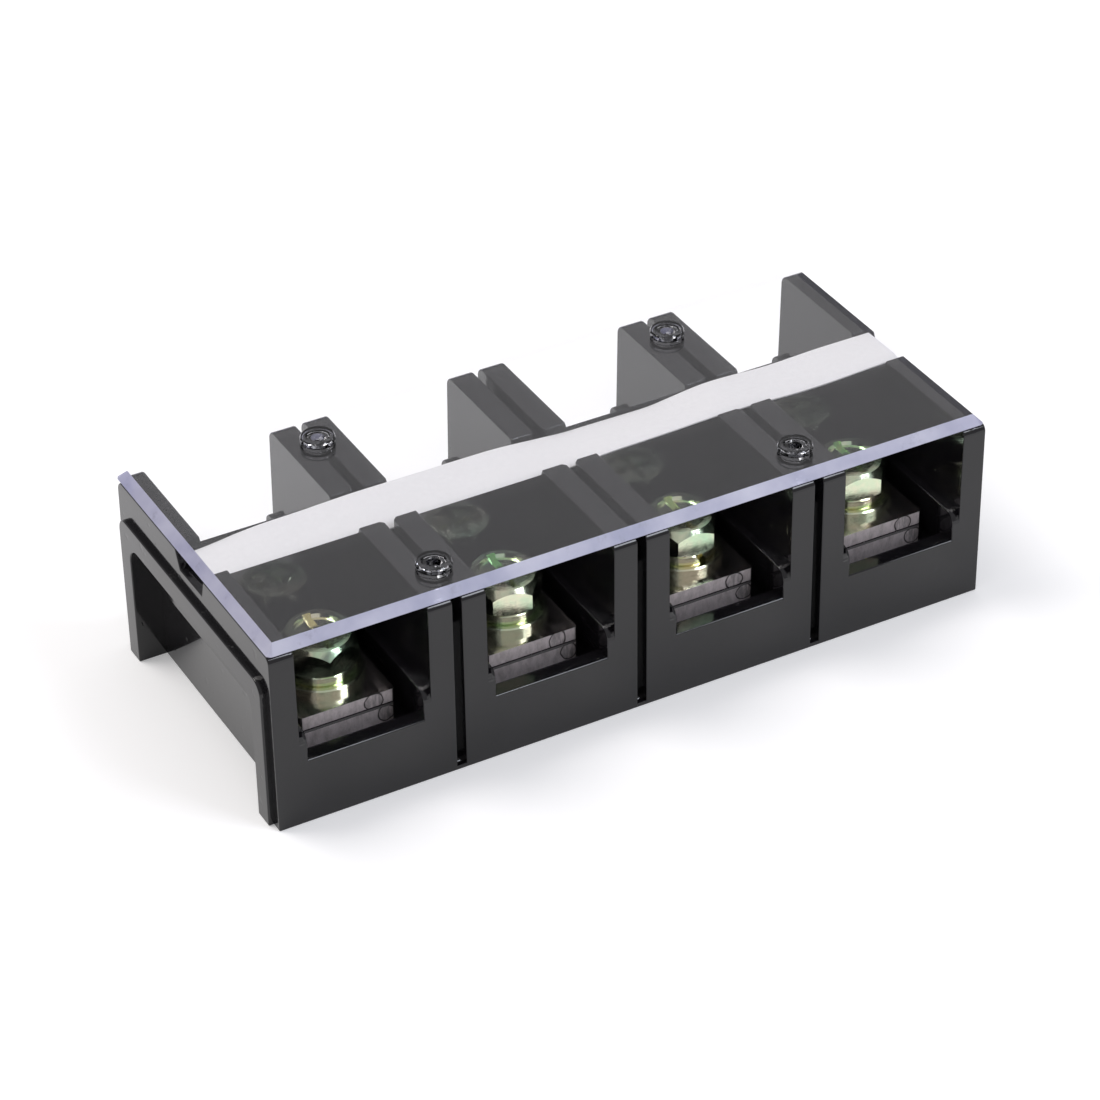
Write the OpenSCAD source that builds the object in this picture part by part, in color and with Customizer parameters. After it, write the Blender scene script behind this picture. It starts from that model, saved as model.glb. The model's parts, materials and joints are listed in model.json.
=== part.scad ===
// Barrier terminal strip: four poles in two rows, under a clear cover held by four push pins.
// X runs along the poles, Y from the front row to the rear row, Z up from the mounting face.

/* [Housing] */
// Distance from one pole to the next
pole_pitch = 37.95; // [37.5:0.05:42]
// Width of the groove between two poles
groove_w = 1.8; // [1.7:0.1:2.4]
// Depth of the housing from the front face to the rear face
body_d = 66.4; // [66:0.2:72]
// Height of the barrier walls
body_h = 38.2; // [37.5:0.1:42]
// How far the rear face leans in from the base to the top
rear_lean = 1; // [0.2:0.1:1.5]
// Thickness of each barrier wall
wall_t = 4.95; // [4.5:0.05:5.5]
// How far the ledges stand into a bay on either side
ledge_w = 1.55; // [1.2:0.05:2.2]
// Height of the ledges
ledge_h = 19.7; // [19:0.1:21]
// Height of the low wall at the mouth of a bay
sill_h = 13.8; // [12.5:0.1:14.5]
// Thickness of that low wall
sill_t = 3.5; // [2.5:0.1:4.5]
// Height of the floor that carries the bars
floor_h = 10.3; // [9.5:0.1:11]

/* [Channel for the marking strip] */
// Height of the bottom of the channel
channel_h = 34.5; // [33.5:0.1:35]
// Width of the channel at the top of the walls
channel_w = 12; // [11.5:0.1:13]

/* [Left end] */
// How far the rim stands proud of the end wall
rim_out = 1; // [0.6:0.1:1.4]
// Height of the rim, and of the webs that close the grooves
rim_h = 31.4; // [30:0.1:32]
// Distance from the front and rear faces to the rim
rim_inset = 2.4; // [2:0.1:3]
// Width of the rim
rim_w = 4.4; // [4:0.1:5]

/* [Conductors] */
// Width of the plates and the threaded bars
bar_w = 19; // [18:0.5:20]
// Thickness of an upper plate
plate_t = 3.2; // [2.5:0.1:3.5]
// Thickness of a threaded bar
bar_t = 3.6; // [3:0.1:4]
// Distance from the face of the housing to the end of a plate
plate_inset = 7.5; // [6.5:0.1:8]

/* [Screws] */
// Distance from the face of the housing to the screw
screw_inset = 18.5; // [17.5:0.1:19]
// Diameter of the screw thread
thread_d = 8; // [7:0.5:8]
// Length of a screw under its head
screw_l = 14; // [13:0.5:15]
// Hexagon of the head across its flats
head_af = 13; // [12:0.5:13]
// Height of the head
head_h = 5.3; // [4.5:0.1:6]

/* [Cover] */
// Thickness of the cover
cover_t = 1.9; // [1.6:0.1:2.5]
// Width of the bevel round the top of the cover
cover_bevel = 1.7; // [1:0.1:2.2]
// Diameter of the head of a push pin
pin_head_d = 6.8; // [6.4:0.1:7.5]

/* [Mounting] */
// Diameter of the mounting holes
mount_hole_d = 5.3; // [4.3:0.1:5.5]

/* [Hidden] */

eps = 0.02;
poles = 4;
pole_w = pole_pitch - groove_w;
body_l = poles * pole_pitch - groove_w;
// The frame's origin is under the middle of the whole part, rim included
x_start = (rim_out - body_l) / 2;
y_front = -body_d / 2;

// Bays
bay_x = wall_t;
bay_w = pole_w - 2 * wall_t;
well_x = wall_t + ledge_w;
well_w = bay_w - 2 * ledge_w;
bridge_d = 11.4;
bay_d = (body_d - bridge_d) / 2;
pit_h = 8;
top_r = 1.5;
rear_top_r = 2.3;
ledge_r = 2.3;
// The rounded edges of the leaning rear face meet it at a slight angle
rear_round_out = 0.03;
groove_d = 2.45;
groove_floor = 0.9;
// How far the two sides of the channel lean, the front one nearly upright
channel_front_lean = 1;
channel_rear_lean = 1.7;
channel_y = (body_d - channel_w) / 2;
// Bevels in plan on the ends of the walls beside a groove
wall_end_bevel = 1.2;

// Left end
rim_r = 3;
recess_r = 3.5;
recess_h = rim_h - 4.6;
recess_deep_h = 18.3;
recess_deep_x = 4.7;
recess_x = 2.9;

// Pockets under the walls between two poles
pocket_l = 20;
pocket_inset = rim_inset + rim_w;

// Mounting holes, one under the channel at each of the outer grooves
mount_head_d = 9.6;
mount_seat_h = 12;

// Conductors
pole_mid = pole_w / 2;
bar_z = floor_h;
plate_z = bar_z + bar_t;
plate_top = plate_z + plate_t;
tunnel_gap = 0.2;
thread_gap = 0.075;
hole_gap = 0.3;
plate_edge = 0.5;
bar_edge = 0.3;
end_corner_r = 0.8;

// Screws and washers
flat_t = 1.5;
flat_d = 16;
spring_t = 2;
spring_d = 13.4;
spring_gap = 1.3;
head_z = plate_top + flat_t + spring_t;
corner_r = head_af / 2 / cos(30);
head_top_r = 5.9;
head_foot_r = 6.6;
dish_r = 4.9;
dish_t = 0.7;
slot_w = 1.6;
slot_t = 1.7;
well_d = 9.6;
well_z = 3;
// Way each hexagon and each washer gap is turned, in degrees, from the left pole to the right
front_turn = [20, 47, 56.7, 49.7];
rear_turn = [12, 38, 51, 5];
front_gap_turn = [130, 60, 276, 95];
rear_gap_turn = [210, 80, 300, 140];

// Cover and pins
cover_inset_x = 0.1;
cover_inset_y = 0.35;
cover_corner_r = 1;
pin_front = 8.8;
pin_rear = 56;
pin_hole_d = 6;
pin_collar_d = 5.6;
pin_head_t = 1.1;
prong_x = 1.5;
prong_y = 1.7;
prong_pitch = 3.5;
prong_l = 5.6;

// Marking strip
strip_t = 0.35;
strip_w = 10.4;
strip_tilt = 9;
strip_left = 2;
strip_l = 146.5;
strip_steps = 36;

// Left side of a pole, counted from 0, measured from the left end wall
function pole_x(i) = i * pole_pitch;
// Middle of a groove
function groove_x(i) = i * pole_pitch - groove_w / 2;
// Distance of the rear face from the front face at a height
function rear_face(z) = body_d - rear_lean * z / body_h;
// Height of the front edge of the marking strip, which rises to the right in low waves
function strip_z(x) = channel_h + 0.65 + 0.25 + 0.5 * x / strip_l + 0.3 * sin(360 * (x - 26) / 68);

// Places children so that x = 0 is the left end wall, y = 0 the front face and z = 0 the base
module placed() {
    translate([x_start, y_front, 0])
        children();
}

// Repeats children for the front row and, turned round, for the rear row
module both_rows() {
    children();
    translate([0, body_d, 0])
        mirror([0, 1, 0])
            children();
}

module box(x0, x1, y0, y1, z0, z1) {
    translate([x0, y0, z0])
        cube([x1 - x0, y1 - y0, z1 - z0]);
}

// A profile drawn in the Y-Z plane, extruded along X
module along_x(x0, x1) {
    translate([x0, 0, 0])
        rotate([90, 0, 90])
            linear_extrude(height = x1 - x0)
                children();
}

// What is cut away to round an outer corner at the origin, with the material at +y and -z
module corner_waste(r) {
    difference() {
        translate([-1, -r])
            square([r + 1, r + 1]);
        translate([r, -r])
            circle(r, $fn = 48);
    }
}

module rounded_top(width, height, r) {
    difference() {
        translate([0, -1])
            square([width, height + 1]);
        translate([0, height])
            corner_waste(r);
        translate([width, height])
            mirror([1, 0])
                corner_waste(r);
    }
}

// ---------------------------------------------------------------- housing

module pole_block(i) {
    along_x(pole_x(i), pole_x(i) + pole_w)
        polygon([[0, 0], [body_d, 0], [rear_face(body_h), body_h], [0, body_h]]);
}

// Rounds the corners that a level surface makes with the front and the rear face
module rounded_faces(x0, x1, height, front_r, rear_r) {
    translate([0, 0, height])
        along_x(x0, x1)
            corner_waste(front_r);
    translate([0, rear_face(height - rear_r) + rear_round_out, height])
        mirror([0, 1, 0])
            along_x(x0, x1)
                corner_waste(rear_r);
}

// Webs that join two poles: set back from both faces, with a thin strip along the base
module groove_web(i) {
    x0 = pole_x(i) - groove_w - eps;
    x1 = pole_x(i) + eps;
    box(x0, x1, groove_d, body_d - groove_d, 0, rim_h);
    box(x0, x1, 0, body_d - 0.1, 0, groove_floor);
    box(x0, x1, bay_d, body_d - bay_d, 0, channel_h);
}

// Raised rim on the left end
module end_rim() {
    translate([0, rim_inset, 0])
        along_x(-rim_out, eps)
            intersection() {
                rounded_top(body_d - 2 * rim_inset, rim_h, rim_r);
                square([body_d, rim_h]);
            }
}

// Recess inside the rim, deeper where the well of the first pole leaves room above it
module end_recess() {
    inset = rim_inset + rim_w;
    width = body_d - 2 * inset;
    translate([0, inset, 0]) {
        along_x(-rim_out - 1, recess_x)
            rounded_top(width, recess_h, recess_r);
        along_x(0, recess_deep_x)
            translate([0, -1])
                square([width, recess_deep_h + 1]);
    }
}

// One bay of the front row
module bay(i) {
    x = pole_x(i);
    box(x + bay_x, x + bay_x + bay_w, -1, bay_d, ledge_h, body_h + 1);
    box(x + well_x, x + well_x + well_w, -1, bay_d, sill_h, ledge_h + 1);
    box(x + well_x, x + well_x + well_w, sill_t, bay_d, floor_h, sill_h + 1);
    box(x + well_x, x + well_x + well_w, sill_t, plate_inset - 0.3, pit_h, floor_h + 1);
    translate([x + pole_mid, screw_inset, well_z])
        cylinder(h = floor_h - well_z + 1, d = well_d, $fn = 48);
}

// Tunnel through the bridge for one pole's plate and bar
module bar_tunnel(i) {
    x = pole_x(i) + pole_mid;
    half = bar_w / 2 + tunnel_gap;
    box(x - half, x + half, bay_d - 1, body_d - bay_d + 1, floor_h, plate_top + tunnel_gap);
}

// Channel across the walls and the bridge, with bevelled corners on the ends of the walls
module channel() {
    rear = channel_y + channel_w;
    over = (body_h - channel_h + 1) / (body_h - channel_h);
    along_x(-1, body_l + 1)
        polygon([
            [channel_y + channel_front_lean, channel_h],
            [rear - channel_rear_lean, channel_h],
            [rear - channel_rear_lean * (1 - over), body_h + 1],
            [channel_y + channel_front_lean * (1 - over), body_h + 1]
        ]);
}

// Square bar on its edge that bevels the ends of two walls where they meet a groove
module wall_end_cut(i, y) {
    side = groove_w / sqrt(2) + wall_end_bevel * sqrt(2);
    translate([groove_x(i), y, channel_h])
        rotate([0, 0, 45])
            translate([-side / 2, -side / 2, 0])
                cube([side, side, body_h - channel_h + 1]);
}

// Pockets cored out of the base under the walls between two poles
module base_pocket(i) {
    x0 = pole_x(i) - groove_w;
    y0 = pocket_inset;
    box(x0 - recess_deep_x, pole_x(i) + recess_deep_x, y0, y0 + pocket_l, -1, recess_deep_h);
    box(x0 - recess_x, pole_x(i) + recess_x, y0, y0 + pocket_l, -1, recess_h);
}

module mounting_hole(i) {
    translate([groove_x(i), body_d / 2, 0]) {
        translate([0, 0, -1])
            cylinder(h = body_h, d = mount_hole_d, $fn = 48);
        translate([0, 0, mount_seat_h])
            cylinder(h = body_h, d = mount_head_d, $fn = 48);
    }
}

module housing() {
    color([0.1, 0.1, 0.11])
        placed()
            difference() {
                union() {
                    for (i = [0 : poles - 1])
                        pole_block(i);
                    for (i = [1 : poles - 1])
                        groove_web(i);
                    end_rim();
                }
                end_recess();
                both_rows() {
                    for (i = [0 : poles - 1])
                        bay(i);
                    for (i = [1 : poles - 1])
                        base_pocket(i);
                }
                rounded_faces(-1, body_l + 1, body_h, top_r, rear_top_r);
                for (i = [0 : poles - 1]) {
                    x = pole_x(i) + bay_x;
                    rounded_faces(x, x + bay_w, ledge_h, ledge_r, ledge_r);
                    bar_tunnel(i);
                }
                for (i = [1, poles - 1])
                    mounting_hole(i);
                channel();
                for (i = [1 : poles - 1]) {
                    wall_end_cut(i, channel_y + channel_front_lean / 2);
                    wall_end_cut(i, channel_y + channel_w - channel_rear_lean / 2);
                }
            }
}

// ---------------------------------------------------------------- conductors

// What is cut away to round the four corners of a rectangle
module rounded_corners(length, width, r) {
    for (x = [0, 1])
        for (y = [0, 1])
            translate([x * length, y * width])
                mirror([x, 0])
                    mirror([0, 1 - y])
                        corner_waste(r);
}

// Bevel along a long edge of a plate: a square bar turned on its edge
module edge_bevel(length, size) {
    rotate([-90, 0, 0])
        rotate([0, 0, 45])
            translate([-size / sqrt(2), -size / sqrt(2), -1])
                cube([size * sqrt(2), size * sqrt(2), length + 2]);
}

module flat_bar(thickness, hole_d, edge, edge_top) {
    length = body_d - 2 * plate_inset;
    half = bar_w / 2;
    difference() {
        linear_extrude(height = thickness)
            translate([-half, 0])
                difference() {
                    square([bar_w, length]);
                    rounded_corners(bar_w, length, end_corner_r);
                }
        for (y = [screw_inset - plate_inset, length - (screw_inset - plate_inset)])
            translate([0, y, -1])
                cylinder(h = thickness + 2, d = hole_d, $fn = 48);
        for (sx = [-1, 1])
            translate([sx * half, 0, edge_top ? thickness : 0])
                edge_bevel(length, edge);
        for (y = [0, length])
            translate([0, y, edge_top ? thickness : 0])
                rotate([0, 0, 90])
                    translate([0, -bar_w / 2, 0])
                        edge_bevel(bar_w, edge);
    }
}

module lower_bar(i) {
    color([0.72, 0.68, 0.66])
        placed()
            translate([pole_x(i) + pole_mid, plate_inset, bar_z])
                flat_bar(bar_t, thread_d + 2 * thread_gap, bar_edge, true);
}

module upper_plate(i) {
    color([0.78, 0.74, 0.72])
        placed()
            translate([pole_x(i) + pole_mid, plate_inset, plate_z])
                flat_bar(plate_t, thread_d + 2 * hole_gap, plate_edge, false);
}

// ---------------------------------------------------------------- screws

// Places children on the axis of a screw: row 0 is the front row, row 1 the rear row
module at_screw(i, row) {
    placed()
        translate([pole_x(i) + pole_mid, row == 0 ? screw_inset : body_d - screw_inset, 0])
            children();
}

module flat_washer(i, row) {
    inner = thread_d / 2 + hole_gap;
    outer = flat_d / 2;
    edge = 0.25;
    color([0.76, 0.76, 0.62])
        at_screw(i, row)
            translate([0, 0, plate_top])
                rotate_extrude($fn = 64)
                    polygon([
                        [inner, 0],
                        [outer, 0],
                        [outer, flat_t - edge],
                        [outer - edge, flat_t],
                        [inner, flat_t]
                    ]);
}

module spring_washer(i, row) {
    inner = thread_d / 2 + 0.2;
    outer = spring_d / 2;
    edge = 0.25;
    color([0.72, 0.74, 0.58])
        at_screw(i, row)
            translate([0, 0, plate_top + flat_t])
                rotate([0, 0, (row == 0 ? front_gap_turn : rear_gap_turn)[i]])
                    difference() {
                        rotate_extrude($fn = 64)
                            polygon([
                                [inner, 0],
                                [outer - edge, 0],
                                [outer, edge],
                                [outer, spring_t - edge],
                                [outer - edge, spring_t],
                                [inner, spring_t]
                            ]);
                        translate([outer / 2, 0, spring_t / 2])
                            rotate([30, 0, 0])
                                cube([outer + 1, spring_gap, 3 * spring_t], center = true);
                    }
}

// Hexagon head: both faces turned down to a cone, so the flats end in arcs
module hex_head() {
    intersection() {
        cylinder(h = head_h, r = corner_r, $fn = 6);
        rotate_extrude($fn = 64)
            polygon([
                [0, 0],
                [head_foot_r, 0],
                [corner_r + 0.3, (corner_r + 0.3 - head_foot_r) * 0.8],
                [corner_r + 0.3, head_h - (corner_r + 0.3 - head_top_r)],
                [head_top_r, head_h],
                [0, head_h]
            ]);
    }
}

module bolt(i, row) {
    tip = 1;
    color([0.74, 0.78, 0.6])
        at_screw(i, row)
            translate([0, 0, head_z])
                rotate([0, 0, (row == 0 ? front_turn : rear_turn)[i]])
                    difference() {
                        union() {
                            hex_head();
                            translate([0, 0, -screw_l + tip])
                                cylinder(h = screw_l - tip + eps, d = thread_d, $fn = 48);
                            translate([0, 0, -screw_l])
                                cylinder(h = tip + eps, d1 = thread_d - 2, d2 = thread_d, $fn = 48);
                        }
                        translate([0, 0, head_h - dish_t])
                            cylinder(h = dish_t + 1, r1 = dish_r - 0.5, r2 = dish_r + 0.2, $fn = 48);
                        rotate([0, 0, 270 - (row == 0 ? front_turn : rear_turn)[i]]) {
                            translate([0, 0, head_h])
                                cube([2 * dish_r + 0.6, slot_w, 2 * slot_t], center = true);
                            translate([0, 0, head_h])
                                cube([slot_w, 1.6 * dish_r, 2 * slot_t], center = true);
                        }
                    }
}

// ---------------------------------------------------------------- marking strip

// Paper strip on its edge in the channel: its rear edge rests on the sloping ends of the walls
module marking_strip() {
    xs = [for (k = [0 : strip_steps]) strip_l * k / strip_steps];
    lower = [for (x = xs) [x, strip_z(x) - channel_h]];
    upper = [for (k = [strip_steps : -1 : 0]) [xs[k], strip_z(xs[k]) - channel_h + strip_t]];
    color([0.97, 0.97, 0.96])
        placed()
            translate([strip_left, channel_y + channel_front_lean + 0.2, channel_h])
                rotate([90 + strip_tilt, 0, 0])
                    translate([0, 0, -strip_w])
                        linear_extrude(height = strip_w)
                            polygon(concat(lower, upper));
}

// ---------------------------------------------------------------- cover and pins

// Plate with a bevel on all four sides: the common part of two bevelled extrusions
module bevelled_plate(length, width) {
    b = cover_bevel;
    intersection() {
        translate([0, width, 0])
            rotate([90, 0, 0])
                linear_extrude(height = width)
                    polygon([[0, 0], [length, 0], [length - b, cover_t], [b, cover_t]]);
        rotate([90, 0, 90])
            linear_extrude(height = length)
                polygon([[0, 0], [width, 0], [width - b, cover_t], [b, cover_t]]);
    }
}

module cover() {
    length = body_l - 2 * cover_inset_x;
    width = body_d - 2 * cover_inset_y;
    color([0.8, 0.82, 0.9, 0.4])
        placed()
            difference() {
                translate([cover_inset_x, cover_inset_y, body_h])
                    difference() {
                        bevelled_plate(length, width);
                        translate([0, 0, -1])
                            linear_extrude(height = cover_t + 2)
                                rounded_corners(length, width, cover_corner_r);
                    }
                for (i = [1, poles - 1])
                    for (y = [pin_front, pin_rear])
                        translate([groove_x(i), y, body_h - 1])
                            cylinder(h = cover_t + 2, d = pin_hole_d, $fn = 48);
            }
}

// Push pin: a dished head, a collar in the cover and two prongs that spread in the groove
module pin(i, y) {
    edge = 0.3;
    head_r = pin_head_d / 2;
    collar_z = 0.1;
    top = cover_t + pin_head_t;
    color([0.85, 0.87, 0.92, 0.5])
        placed()
            translate([groove_x(i), y, body_h]) {
                difference() {
                    rotate_extrude($fn = 48)
                        polygon([
                            [0, collar_z],
                            [pin_collar_d / 2, collar_z],
                            [pin_collar_d / 2, cover_t],
                            [head_r, cover_t],
                            [head_r, top - edge],
                            [head_r - edge, top],
                            [2.3, top],
                            [2.0, top - 0.5],
                            [0, top - 0.5]
                        ]);
                    translate([0, 0, cover_t - 0.8])
                        cylinder(h = 3, d = 2.6, $fn = 32);
                }
                for (side = [-1, 1])
                    translate([0, side * prong_pitch / 2, 0])
                        prong();
            }
}

module prong() {
    barb = 0.25;
    half = prong_y / 2;
    along_x(-prong_x / 2, prong_x / 2)
        polygon([
            [-half, 0.2],
            [-half, -prong_l + 1.6],
            [-half - barb, -prong_l + 1.2],
            [-half + barb, -prong_l],
            [half - barb, -prong_l],
            [half + barb, -prong_l + 1.2],
            [half, -prong_l + 1.6],
            [half, 0.2]
        ]);
}

housing();
lower_bar(0);  // lower_bar_1
lower_bar(1);  // lower_bar_2
lower_bar(2);  // lower_bar_3
lower_bar(3);  // lower_bar_4
upper_plate(0);  // upper_plate_1
upper_plate(1);  // upper_plate_2
upper_plate(2);  // upper_plate_3
upper_plate(3);  // upper_plate_4
flat_washer(0, 0);  // front_flat_washer_1
flat_washer(1, 0);  // front_flat_washer_2
flat_washer(2, 0);  // front_flat_washer_3
flat_washer(3, 0);  // front_flat_washer_4
flat_washer(0, 1);  // rear_flat_washer_1
flat_washer(1, 1);  // rear_flat_washer_2
flat_washer(2, 1);  // rear_flat_washer_3
flat_washer(3, 1);  // rear_flat_washer_4
spring_washer(0, 0);  // front_spring_washer_1
spring_washer(1, 0);  // front_spring_washer_2
spring_washer(2, 0);  // front_spring_washer_3
spring_washer(3, 0);  // front_spring_washer_4
spring_washer(0, 1);  // rear_spring_washer_1
spring_washer(1, 1);  // rear_spring_washer_2
spring_washer(2, 1);  // rear_spring_washer_3
spring_washer(3, 1);  // rear_spring_washer_4
bolt(0, 0);  // front_bolt_1
bolt(1, 0);  // front_bolt_2
bolt(2, 0);  // front_bolt_3
bolt(3, 0);  // front_bolt_4
bolt(0, 1);  // rear_bolt_1
bolt(1, 1);  // rear_bolt_2
bolt(2, 1);  // rear_bolt_3
bolt(3, 1);  // rear_bolt_4
marking_strip();
cover();
pin(1, pin_front);  // front_left_pin
pin(poles - 1, pin_front);  // front_right_pin
pin(1, pin_rear);  // rear_left_pin
pin(poles - 1, pin_rear);  // rear_right_pin
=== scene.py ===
import json
import math

import bmesh
import bpy
from mathutils import Matrix, Vector, noise

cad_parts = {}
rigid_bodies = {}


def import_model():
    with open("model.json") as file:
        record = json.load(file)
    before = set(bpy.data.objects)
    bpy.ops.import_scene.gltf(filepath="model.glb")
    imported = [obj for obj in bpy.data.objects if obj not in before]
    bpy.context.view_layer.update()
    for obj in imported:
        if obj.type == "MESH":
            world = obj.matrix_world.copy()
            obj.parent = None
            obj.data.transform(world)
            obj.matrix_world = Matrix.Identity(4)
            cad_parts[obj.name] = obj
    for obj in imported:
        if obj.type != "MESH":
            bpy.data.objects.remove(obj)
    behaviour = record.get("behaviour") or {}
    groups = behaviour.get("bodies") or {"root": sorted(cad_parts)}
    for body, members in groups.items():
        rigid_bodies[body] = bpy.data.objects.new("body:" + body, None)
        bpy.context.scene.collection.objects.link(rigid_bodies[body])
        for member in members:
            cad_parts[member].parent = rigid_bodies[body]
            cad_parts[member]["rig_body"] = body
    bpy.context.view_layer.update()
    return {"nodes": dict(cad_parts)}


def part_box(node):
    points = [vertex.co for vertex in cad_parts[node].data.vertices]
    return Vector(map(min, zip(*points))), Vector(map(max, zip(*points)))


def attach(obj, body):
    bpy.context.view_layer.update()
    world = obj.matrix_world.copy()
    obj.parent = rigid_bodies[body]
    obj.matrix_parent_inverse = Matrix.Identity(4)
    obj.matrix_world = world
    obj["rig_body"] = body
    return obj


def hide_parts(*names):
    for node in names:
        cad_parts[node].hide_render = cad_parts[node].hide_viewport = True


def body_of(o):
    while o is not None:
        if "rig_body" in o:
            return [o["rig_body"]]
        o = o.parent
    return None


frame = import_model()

NODES = frame["nodes"]
MM = 0.001
POLES = 4
ROWS = ("front", "rear")
CORNERS = ("front_left", "front_right", "rear_left", "rear_right")


def middle(node, axis):
    """The middle of a CAD node's box along an axis: 0, 1 or 2."""
    return sum(corner[axis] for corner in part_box(node)) / 2


PITCH = (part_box(f"upper_plate_{POLES}")[0].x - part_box("upper_plate_1")[0].x) / (POLES - 1)

# ---------------------------------------------------------------- view

VIEW_AZIMUTH = 28.40
VIEW_ELEVATION = 34.79
VIEW_ROLL = -0.912
VIEW_DISTANCE = 0.71333
VIEW_TARGET = Vector((-3.45, -5.22, 20.0)) * MM
LENS = 123.67
SENSOR = 36.0
CLIP_START = 0.01


def add_camera():
    """The camera at the photograph's viewing angle."""
    azimuth, elevation = math.radians(VIEW_AZIMUTH), math.radians(VIEW_ELEVATION)
    ahead = Vector((
        math.sin(azimuth) * math.cos(elevation),
        math.cos(azimuth) * math.cos(elevation),
        -math.sin(elevation),
    ))
    data = bpy.data.cameras.new("camera")
    data.lens = LENS
    data.sensor_width = SENSOR
    data.clip_start = CLIP_START
    data.dof.use_dof = False
    camera = bpy.data.objects.new("camera", data)
    bpy.context.scene.collection.objects.link(camera)
    roll = Matrix.Rotation(math.radians(VIEW_ROLL), 3, "Z")
    turn = ahead.to_track_quat("-Z", "Y").to_matrix() @ roll
    camera.matrix_world = Matrix.Translation(VIEW_TARGET - VIEW_DISTANCE * ahead) @ turn.to_4x4()
    bpy.context.scene.camera = camera


# ---------------------------------------------------------------- material helpers


class Nodes:
    """A material's node tree, with short calls for the nodes that are used here."""

    def __init__(self, name):
        self.material = bpy.data.materials.new(name)
        self.material.use_nodes = True
        self.tree = self.material.node_tree
        self.tree.nodes.clear()
        self.output = self.tree.nodes.new("ShaderNodeOutputMaterial")
        coords = self.tree.nodes.new("ShaderNodeTexCoord").outputs
        self.coords = coords["Object"]
        self.normal = coords["Normal"]

    def new(self, kind, **inputs):
        """A node with its inputs set or linked; an underscore stands for a space in an input's name."""
        node = self.tree.nodes.new(kind)
        for key, value in inputs.items():
            self.feed(node.inputs[key.replace("_", " ")], value)
        return node

    def feed(self, socket, value):
        """Links a socket to another one, or sets it to a constant."""
        if isinstance(value, bpy.types.NodeSocket):
            self.tree.links.new(value, socket)
        else:
            socket.default_value = value

    def math(self, operation, *values):
        node = self.tree.nodes.new("ShaderNodeMath")
        node.operation = operation
        for socket, value in zip(node.inputs, values):
            self.feed(socket, value)
        return node.outputs[0]

    def split(self, vector):
        """The X, Y and Z of a vector."""
        return self.new("ShaderNodeSeparateXYZ", Vector=vector).outputs[:]

    def stretched(self, factors):
        """The object's coordinates multiplied by a factor per axis."""
        node = self.new("ShaderNodeMapping", Vector=self.coords)
        node.inputs["Scale"].default_value = factors
        return node.outputs["Vector"]

    def noise(self, scale, detail=3.0, rough=0.55, vector=None):
        return self.new(
            "ShaderNodeTexNoise", Vector=vector or self.coords, Scale=scale, Detail=detail, Roughness=rough
        ).outputs["Fac"]

    def ramp(self, factor, *stops):
        """A colour ramp, with stops as (position, colour)."""
        node = self.new("ShaderNodeValToRGB", Fac=factor)
        elements = node.color_ramp.elements
        while len(elements) < len(stops):
            elements.new(0.5)
        for element, (position, colour) in zip(elements, stops):
            element.position = position
            element.color = (*colour, 1.0)
        return node.outputs["Color"]

    def spread(self, factor, low, high, start=0.3, end=0.7):
        """A factor mapped from start..end to low..high."""
        node = self.new("ShaderNodeMapRange", Value=factor)
        for key, value in (("From Min", start), ("From Max", end), ("To Min", low), ("To Max", high)):
            node.inputs[key].default_value = value
        return node.outputs["Result"]

    def blend(self, factor, low, high):
        """Two colours blended by a factor."""
        node = self.tree.nodes.new("ShaderNodeMix")
        node.data_type = "RGBA"
        self.feed(node.inputs[0], factor)
        for socket, value in ((node.inputs[6], low), (node.inputs[7], high)):
            self.feed(socket, value if isinstance(value, bpy.types.NodeSocket) else (*value, 1.0))
        return node.outputs[2]

    def bump(self, height, strength, distance, under=None):
        """A bumped normal, over another one if that is given."""
        node = self.new("ShaderNodeBump", Height=height, Strength=strength, Distance=distance)
        if under is not None:
            self.tree.links.new(under, node.inputs["Normal"])
        return node.outputs["Normal"]

    def principled(self, **inputs):
        return self.new("ShaderNodeBsdfPrincipled", **inputs).outputs["BSDF"]

    def either(self, factor, first, second):
        """The first shader where the factor is 0, and the second where it is 1."""
        node = self.new("ShaderNodeMixShader", Fac=factor)
        self.tree.links.new(first, node.inputs[1])
        self.tree.links.new(second, node.inputs[2])
        return node.outputs[0]

    def finish(self, shader):
        self.tree.links.new(shader, self.output.inputs["Surface"])
        return self.material


# ---------------------------------------------------------------- materials

# How far a bar's surface faces forward or back, from 0 to 1: its sheared ends lie above END_FACING, and the
# chamfers round them between CORNER_FACING and END_FACING, where they are painted near-black as shade
END_FACING = 0.9
CORNER_FACING = 0.4


def moulding_material():
    """Black moulded plastic: glossy, with pits and a slightly wavy surface."""
    n = Nodes("black_moulding")
    colour = n.ramp(n.noise(90.0), (0.3, (0.0035, 0.0032, 0.004)), (0.7, (0.007, 0.0065, 0.0078)))
    rough = n.spread(n.noise(160.0, 4.0), 0.07, 0.12)
    pits = n.spread(n.noise(420.0, 2.0, 0.5), 0.0, 1.0, 0.27, 0.33)
    waves = n.bump(n.noise(45.0, 2.0), 0.25, 0.12 * MM)
    relief = n.bump(pits, 0.35, 0.05 * MM, under=waves)
    return n.finish(n.principled(Base_Color=colour, Roughness=rough, IOR=1.5, Normal=relief))


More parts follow.
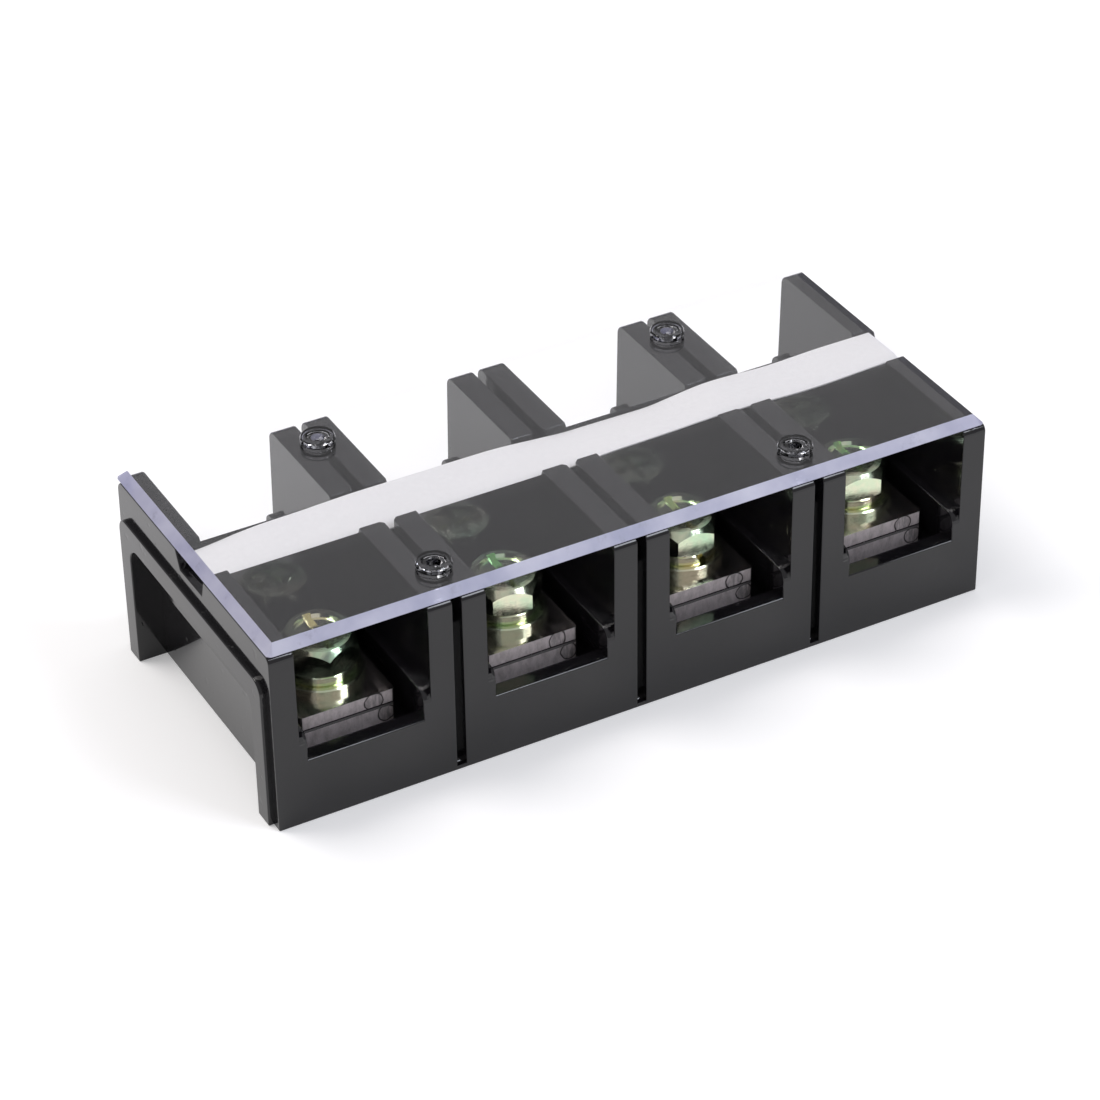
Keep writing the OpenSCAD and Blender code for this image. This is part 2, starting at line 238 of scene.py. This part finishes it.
def round_mark(n, mark_x, mark_z, mark_size):
    """A round mark beside the middle of every pole: the factors of its ring and of what is inside it."""
    x, _, z = n.split(n.coords)
    first_pole = middle("upper_plate_1", 0)
    on_first_pole = n.math("WRAP", x, first_pole + PITCH / 2, first_pole - PITCH / 2)
    across = n.math("SUBTRACT", on_first_pole, first_pole + mark_x)
    up = n.math("SUBTRACT", z, mark_z)
    squares = n.math("ADD", n.math("MULTIPLY", across, across), n.math("MULTIPLY", up, up))
    wobble = n.math("MULTIPLY", n.noise(350.0, 2.0), 1.2 * MM)
    distance = n.math("ADD", n.math("SQRT", squares), wobble)
    off_ring = n.math("ABSOLUTE", n.math("SUBTRACT", distance, mark_size))
    ring = n.spread(off_ring, 1.0, 0.0, 0.05 * MM, 0.22 * MM)
    inside = n.spread(distance, 1.0, 0.0, mark_size - 0.1 * MM, mark_size)
    return ring, inside


def bar_material(name, tint, top_rough, mark_x, mark_z, mark_size):
    """Plated copper bar: bright drawn faces, sheared ends with a round witness mark, and chamfers painted dark
    as shade.
    """
    n = Nodes(name)
    draw = n.noise(900.0, 4.0, vector=n.stretched((1.0, 0.06, 1.0)))
    pits = n.noise(500.0, 5.0, 0.7)
    top_colour = n.ramp(pits, (0.28, [c * 0.7 for c in tint]), (0.5, tint))
    top_relief = n.bump(pits, 0.15, 0.05 * MM, under=n.bump(draw, 0.12, 0.04 * MM))
    top_gloss = n.spread(draw, *top_rough)
    top = n.principled(Base_Color=top_colour, Metallic=1.0, Roughness=top_gloss, Normal=top_relief)

    ring, inside = round_mark(n, mark_x, mark_z, mark_size)
    tears = n.noise(700.0, 5.0, 0.7, vector=n.stretched((1.0, 1.0, 0.5)))
    specks = n.noise(1500.0, 3.0)
    scratches = n.noise(1100.0, 4.0, 0.7, vector=n.stretched((1.2, 1.0, 0.25)))
    worn = n.ramp(tears, (0.3, (0.4, 0.36, 0.36)), (0.6, (0.66, 0.6, 0.61)))
    scraped = n.math("MULTIPLY", inside, n.spread(scratches, 0.0, 0.6, 0.42, 0.58))
    marked = n.blend(scraped, worn, (0.16, 0.15, 0.15))
    end_colour = n.blend(ring, marked, (0.04, 0.035, 0.035))
    torn = n.math("ADD", tears, n.math("MULTIPLY", specks, 0.3))
    end_relief = n.bump(n.math("SUBTRACT", torn, ring), 0.5, 0.12 * MM)
    end = n.principled(Base_Color=end_colour, Metallic=0.45, Roughness=0.6, Normal=end_relief)

    # painted shade: the chamfers between the drawn faces and the sheared ends are near-black, for the shadowed
    # line there
    corner = n.principled(Base_Color=(0.05, 0.045, 0.045, 1.0), Metallic=0.4, Roughness=0.6)
    facing = n.math("ABSOLUTE", n.split(n.normal)[1])
    sheared = n.either(n.math("GREATER_THAN", facing, END_FACING), corner, end)
    return n.finish(n.either(n.math("GREATER_THAN", facing, CORNER_FACING), top, sheared))


def zinc_material(name, green, yellow, rough_low=0.07, rough_high=0.2):
    """Passivated zinc: patches of green and straw yellow over bright metal."""
    n = Nodes(name)
    between = [0.5 * (a + b) for a, b in zip(green, yellow)]
    colour = n.ramp(n.noise(130.0, 3.0, 0.6), (0.36, green), (0.52, between), (0.64, yellow))
    fine = n.noise(1300.0, 4.0, 0.7)
    turned = n.noise(2200.0, 3.0, vector=n.stretched((0.4, 0.4, 1.6)))
    rough = n.spread(fine, rough_low, rough_high)
    relief = n.bump(fine, 0.22, 0.03 * MM, under=n.bump(turned, 0.12, 0.02 * MM))
    return n.finish(n.principled(Base_Color=colour, Metallic=1.0, Roughness=rough, Normal=relief))


def paper_material():
    """White paper with faint fibres."""
    n = Nodes("paper")
    fibres = n.noise(1200.0, 5.0, 0.6)
    colour = n.ramp(fibres, (0.3, (0.88, 0.88, 0.875)), (0.7, (0.93, 0.93, 0.925)))
    relief = n.bump(n.noise(160.0, 4.0), 0.15, 0.1 * MM)
    return n.finish(n.principled(Base_Color=colour, Roughness=0.6, Normal=relief))


def let_light_through(n, shader, tint):
    """Shadow and diffuse rays pass straight through, so that what is under the sheet is lit as in clear air."""
    path = n.new("ShaderNodeLightPath").outputs
    straight = n.new("ShaderNodeBsdfTransparent", Color=(*tint, 1.0)).outputs["BSDF"]
    soft = n.math("MAXIMUM", path["Is Shadow Ray"], path["Is Diffuse Ray"])
    return n.either(soft, shader, straight)


def clear_material(name, tint, scuff):
    """Clear plastic with fine scuffs."""
    n = Nodes(name)
    rough = n.spread(n.noise(45.0, 4.0, 0.6), 0.0, scuff, 0.5, 0.8)
    clear = n.principled(Base_Color=(*tint, 1.0), Roughness=rough, IOR=1.49, Transmission_Weight=1.0)
    return n.finish(let_light_through(n, clear, (0.97, 0.965, 0.97)))


def sheet_edge_material():
    """Bevelled edge of the clear sheet: the light it gathers is a painted blue-grey glow in its colour, with a
    few smudges.
    """
    n = Nodes("clear_edge")
    tone = n.noise(60.0, 4.0, 0.6)
    # painted glow: a pale blue-grey colour that stands for the light the sheet carries along to its bevelled
    # edges
    painted_glow = n.ramp(tone, (0.32, (0.36, 0.37, 0.56)), (0.5, (0.52, 0.52, 0.7)), (0.68, (0.66, 0.66, 0.82)))
    smudge = n.spread(n.noise(330.0, 4.0, 0.65), 0.0, 0.5, 0.6, 0.75)
    colour = n.blend(smudge, painted_glow, (0.2, 0.2, 0.28))
    lines = n.noise(500.0, 3.0, vector=n.stretched((0.15, 1.0, 1.0)))
    relief = n.bump(lines, 0.2, 0.05 * MM)
    edge = n.principled(Base_Color=colour, Roughness=0.28, IOR=1.49, Transmission_Weight=0.3, Normal=relief)
    return n.finish(let_light_through(n, edge, (0.95, 0.95, 0.97)))


FLOOR_LIFT = 0.26  # what is added to the lit floor, for the camera and in what reflects it


def floor_material():
    """Pale floor: white to the camera and in reflections where it is fully lit, and it keeps its shadows."""
    n = Nodes("floor")
    lit = n.principled(Base_Color=(0.9, 0.9, 0.9, 1.0), Roughness=0.9)
    lift = n.new("ShaderNodeEmission", Color=(1.0, 1.0, 1.0, 1.0), Strength=FLOOR_LIFT)
    lifted = n.new("ShaderNodeAddShader")
    n.tree.links.new(lit, lifted.inputs[0])
    n.tree.links.new(lift.outputs["Emission"], lifted.inputs[1])
    path = n.new("ShaderNodeLightPath").outputs
    seen = path["Is Camera Ray"]
    for kind in ("Is Glossy Ray", "Is Transmission Ray"):
        seen = n.math("MAXIMUM", seen, path[kind])
    return n.finish(n.either(seen, lit, lifted.outputs[0]))


# ---------------------------------------------------------------- pieces

MERGE_DISTANCE = 0.002 * MM
FLAT_ANGLE = 0.5  # degrees: faces that turn by less are made one
SHARP_ANGLE = 38.0  # degrees: edges that turn by more stay sharp
COVER_SHARP_ANGLE = 25.0
BEVEL_FROM_ANGLE = 35.0  # degrees: outer edges of the housing that turn by more are rounded
BEVEL = 0.25 * MM
COVER_LIFT = 0.06 * MM  # the cover and the wall tops in one plane would render as speckles
FLAT_FACE = 0.95  # a face whose normal rises by more than this is the cover's top or underside
OUTLINE_MARGIN = 3.0 * MM  # faces further in than this are the cover's pin holes

STRIP_COLUMNS, STRIP_ROWS = 120, 12
STRIP_THICK = 0.25  # mm
STRIP_CURL, STRIP_CURL_SHARE = 0.45, 0.2  # mm down at the front edge, over this share of the width
STRIP_RIPPLE = 0.05  # mm

# Height of the marking strip's two long edges above the base, in mm, at distances in mm from its left end
STRIP_FRONT = (
    (0, 35.15), (18, 35.3), (33, 35.7), (48, 35.8), (68, 36.3), (86, 37.3), (108, 37.75), (127, 37.15),
    (148, 37.8),
)
STRIP_REAR = (
    (0, 36.2), (17, 37.3), (36, 37.8), (60, 37.75), (80, 36.6), (95, 36.5), (110, 37.75), (124, 37.3),
    (136, 37.6), (148, 37.6),
)


def merged_copy(node):
    """A CAD node's mesh with its shared corners joined."""
    mesh = bmesh.new()
    mesh.from_mesh(NODES[node].data)
    bmesh.ops.remove_doubles(mesh, verts=mesh.verts, dist=MERGE_DISTANCE)
    return mesh


def add_piece(name, mesh, node, slot, *materials):
    """Makes a mesh a piece that stands for a CAD node and rides on its body."""
    data = bpy.data.meshes.new(name)
    mesh.to_mesh(data)
    mesh.free()
    for material in materials:
        data.materials.append(material)
    piece = bpy.data.objects.new(name, data)
    bpy.context.scene.collection.objects.link(piece)
    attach(piece, body_of(NODES[node])[0])
    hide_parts(node)
    return piece


def shade_with_creases(piece, angle=SHARP_ANGLE):
    """Smooth shading that keeps the large faces flat and the edges over an angle sharp."""
    piece.data.shade_smooth()
    piece.data.set_sharp_from_angle(angle=math.radians(angle))
    weighted = piece.modifiers.new("weighted", "WEIGHTED_NORMAL")
    weighted.keep_sharp = True


def outer_edges(mesh, angle):
    """The convex edges that turn by more than an angle."""
    limit = math.radians(angle)
    return [e for e in mesh.edges if len(e.link_faces) == 2 and e.calc_face_angle_signed(0.0) > limit]


def add_housing():
    """The moulded housing with its outer edges slightly rounded."""
    mesh = merged_copy("housing")
    bmesh.ops.dissolve_limit(
        mesh, angle_limit=math.radians(FLAT_ANGLE), use_dissolve_boundaries=False, verts=mesh.verts,
        edges=mesh.edges,
    )
    bmesh.ops.bevel(
        mesh, geom=outer_edges(mesh, BEVEL_FROM_ANGLE), offset=BEVEL, offset_type="OFFSET", segments=2,
        profile=0.5, affect="EDGES", clamp_overlap=False,
    )
    shade_with_creases(add_piece("moulded_housing", mesh, "housing", "black_moulding", moulding_material()))


def add_cover():
    """The clear sheet, a hair above the walls it rests on; its bevelled edges have their own finish."""
    low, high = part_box("cover")
    mesh = merged_copy("cover")
    mesh.normal_update()
    for face in mesh.faces:
        in_pin_hole = all(
            low[axis] + OUTLINE_MARGIN < vert.co[axis] < high[axis] - OUTLINE_MARGIN
            for vert in face.verts for axis in (0, 1)
        )
        face.material_index = int(abs(face.normal.z) < FLAT_FACE and not in_pin_hole)
    for vert in mesh.verts:
        vert.co.z = max(vert.co.z, low.z + COVER_LIFT)
    sheet = clear_material("clear_sheet", (0.99, 0.99, 1.0), 0.03)
    piece = add_piece("clear_cover", mesh, "cover", "clear_sheet", sheet, sheet_edge_material())
    shade_with_creases(piece, COVER_SHARP_ANGLE)


def height_at(stops, x):
    """A smooth curve through stops of (x, height)."""
    for (x0, z0), (x1, z1) in zip(stops, stops[1:]):
        if x <= x1:
            t = (x - x0) / (x1 - x0)
            return z0 + (z1 - z0) * (3 - 2 * t) * t * t
    return stops[-1][1]


def strip_height(x, t):
    """Height of the strip's top in mm, at a distance in mm from its left end and a share of its width."""
    front, rear = height_at(STRIP_FRONT, x), height_at(STRIP_REAR, x)
    curl = STRIP_CURL * max(0.0, 1.0 - t / STRIP_CURL_SHARE) ** 2
    ripple = STRIP_RIPPLE * noise.noise(Vector((x * 0.12, t * 2.0, 3.0)))
    return front + (rear - front) * t - curl + ripple


def add_marking_strip():
    """The paper strip: it bows between the walls, and its front edge curls down."""
    low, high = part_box("marking_strip")
    length, width = (high.x - low.x) / MM, (high.y - low.y) / MM
    mesh = bmesh.new()

    def layer(lift):
        grid = []
        for i in range(STRIP_COLUMNS + 1):
            x = length * i / STRIP_COLUMNS
            line = []
            for j in range(STRIP_ROWS + 1):
                t = j / STRIP_ROWS
                z = strip_height(x, t) + lift - STRIP_THICK
                line.append(mesh.verts.new((low.x + x * MM, low.y + width * t * MM, z * MM)))
            grid.append(line)
        return grid

    top, under = layer(STRIP_THICK), layer(0.0)
    for i in range(STRIP_COLUMNS):
        for j in range(STRIP_ROWS):
            mesh.faces.new((top[i][j], top[i + 1][j], top[i + 1][j + 1], top[i][j + 1]))
            mesh.faces.new((under[i][j], under[i][j + 1], under[i + 1][j + 1], under[i + 1][j]))
        mesh.faces.new((under[i][0], under[i + 1][0], top[i + 1][0], top[i][0]))
        mesh.faces.new((top[i][-1], top[i + 1][-1], under[i + 1][-1], under[i][-1]))
    for j in range(STRIP_ROWS):
        mesh.faces.new((top[0][j], top[0][j + 1], under[0][j + 1], under[0][j]))
        mesh.faces.new((under[-1][j], under[-1][j + 1], top[-1][j + 1], top[-1][j]))
    shade_with_creases(add_piece("paper_strip", mesh, "marking_strip", "paper", paper_material()))


def dress(name, material):
    """Gives a CAD node its material."""
    slots = NODES[name].data.materials
    slots.clear()
    slots.append(material)


def dress_cad_nodes():
    """Materials of the bars, plates, screws, washers and pins, which are shown as they are in the CAD."""
    bar = bar_material(
        "bar_steel", tint=(0.6, 0.54, 0.54), top_rough=(0.15, 0.3), mark_x=7.6 * MM,
        mark_z=middle("lower_bar_1", 2), mark_size=2.3 * MM,
    )
    plate = bar_material(
        "plate_steel", tint=(0.62, 0.57, 0.56), top_rough=(0.08, 0.2), mark_x=5.2 * MM,
        mark_z=middle("upper_plate_1", 2), mark_size=2.4 * MM,
    )
    washer = zinc_material("zinc_washer", green=(0.6, 0.72, 0.5), yellow=(0.8, 0.76, 0.54))
    screw = zinc_material("zinc_screw", green=(0.52, 0.74, 0.5), yellow=(0.84, 0.8, 0.6))
    for number in range(1, POLES + 1):
        dress(f"lower_bar_{number}", bar)
        dress(f"upper_plate_{number}", plate)
        for row in ROWS:
            dress(f"{row}_flat_washer_{number}", washer)
            dress(f"{row}_spring_washer_{number}", washer)
            dress(f"{row}_bolt_{number}", screw)
    clear_pin = clear_material("clear_pin", (0.97, 0.975, 1.0), 0.06)
    for corner in CORNERS:
        dress(f"{corner}_pin", clear_pin)


# ---------------------------------------------------------------- stage

FLOOR_SIZE = 6.0
WORLD_COLOUR = (0.98, 0.97, 1.0, 1.0)
WORLD_LEVEL = 0.52


def add_stage():
    """The floor and the soft light from all round."""
    bpy.ops.mesh.primitive_plane_add(size=FLOOR_SIZE, location=(0.0, 0.0, 0.0))
    floor = bpy.context.object
    floor.name = "floor"
    floor.data.materials.append(floor_material())

    world = bpy.data.worlds.new("studio")
    bpy.context.scene.world = world
    world.use_nodes = True
    background = world.node_tree.nodes["Background"]
    background.inputs["Color"].default_value = WORLD_COLOUR
    background.inputs["Strength"].default_value = WORLD_LEVEL


def add_lamp(name, place, aim, size, power, colour):
    """A softbox at a place that lights what it is aimed at."""
    data = bpy.data.lights.new(name, "AREA")
    data.shape = "RECTANGLE"
    data.size, data.size_y = size
    data.energy = power
    data.color = colour
    lamp = bpy.data.objects.new(name, data)
    bpy.context.scene.collection.objects.link(lamp)
    lamp.location = place
    lamp.rotation_euler = (Vector(aim) - Vector(place)).to_track_quat("-Z", "Y").to_euler()


# ---------------------------------------------------------------- put together

bpy.context.scene.view_settings.view_transform = "Standard"
add_camera()
add_stage()
add_lamp(
    "key", place=(-0.55, 0.6, 1.25), aim=(0.0, 0.0, 0.0), size=(0.8, 0.8), power=9.5, colour=(1.0, 0.965, 0.94)
)
add_lamp(
    "front", place=(0.45, -0.66, 0.85), aim=(0.0, 0.0, 0.02), size=(0.35, 0.35), power=3.4,
    colour=(0.86, 0.9, 1.0),
)

add_housing()
add_cover()
add_marking_strip()
dress_cad_nodes()
